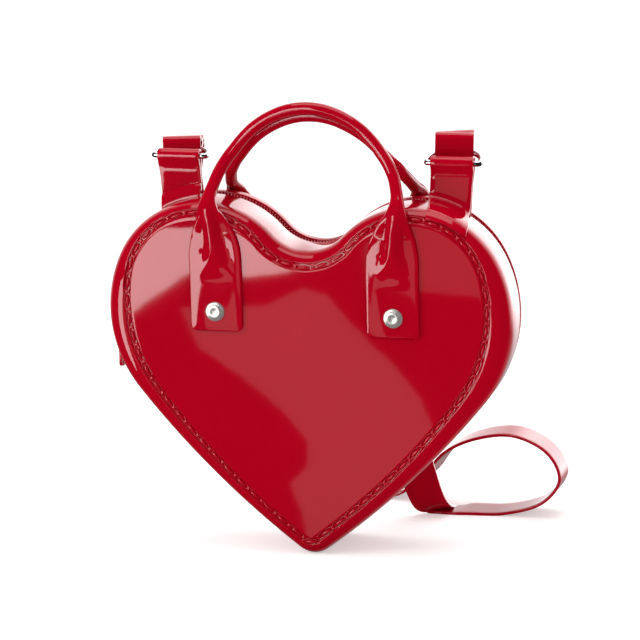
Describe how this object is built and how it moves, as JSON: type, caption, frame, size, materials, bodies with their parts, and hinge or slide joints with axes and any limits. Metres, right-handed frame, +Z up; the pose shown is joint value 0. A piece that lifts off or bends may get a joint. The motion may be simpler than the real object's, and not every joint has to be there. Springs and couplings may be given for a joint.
{
  "type": "heart shaped purse",
  "caption": "Small glossy heart shaped handbag with a zipped mouth, arch handles and a flat shoulder strap on rings.",
  "frame": {"origin": "bottom of the tip, at mid width, 2 mm behind mid depth, on the surface that the bag stands on", "axes": "+X to the right seen from the front, +Y from the front panel to the back, +Z up"},
  "size_m": [0.199, 0.1222, 0.2093],
  "materials": {
    "red_pvc": "glossy moulded red PVC",
    "strap_pvc": "glossy flat red PVC strip",
    "zip_tape": "woven polyester tape",
    "zip_coil": "dyed nylon coil",
    "painted_zinc": "red lacquer on cast zinc",
    "chromed_steel": "polished chrome plate"
  },
  "bodies": {
    "case": {"front_shell": "red_pvc", "rear_shell": "red_pvc", "zip_tape_front": "zip_tape", "zip_coil_front": "zip_coil", "zip_stops": "zip_coil", "zip_slider": "painted_zinc", "front_handle": "red_pvc", "front_rivet_caps": "chromed_steel", "front_rivet_shanks": "chromed_steel", "front_rivet_washers": "chromed_steel", "strap_tab_left": "red_pvc", "strap_tab_right": "red_pvc"},
    "flap": {"rear_shell_flap": "red_pvc", "zip_tape_rear": "zip_tape", "zip_coil_rear": "zip_coil", "rear_handle": "red_pvc", "rear_rivet_caps": "chromed_steel", "rear_rivet_shanks": "chromed_steel", "rear_rivet_washers": "chromed_steel"},
    "pull": {"zip_pull_link": "chromed_steel", "zip_pull": "red_pvc"},
    "strap": {"ring_left": "chromed_steel", "ring_right": "chromed_steel", "strap_end_left": "strap_pvc", "strap_end_right": "strap_pvc", "shoulder_strap": "strap_pvc"}
  },
  "joints": [
    {"name": "flap_open", "type": "hinge", "parent": "case", "child": "flap", "pos_m": [0, 0.0185, 0.1042], "axis": [-1, 0, 0], "range_deg": [0, 12]},
    {"name": "pull_swing", "type": "hinge", "parent": "case", "child": "pull", "pos_m": [-0.09709, 0.005, 0.09944], "axis": [0, 1, 0], "range_deg": [0, 150]},
    {"name": "strap_swing", "type": "hinge", "parent": "case", "child": "strap", "pos_m": [0, 0, 0.1807], "axis": [1, 0, 0], "range_deg": [0, 150]}
  ]
}
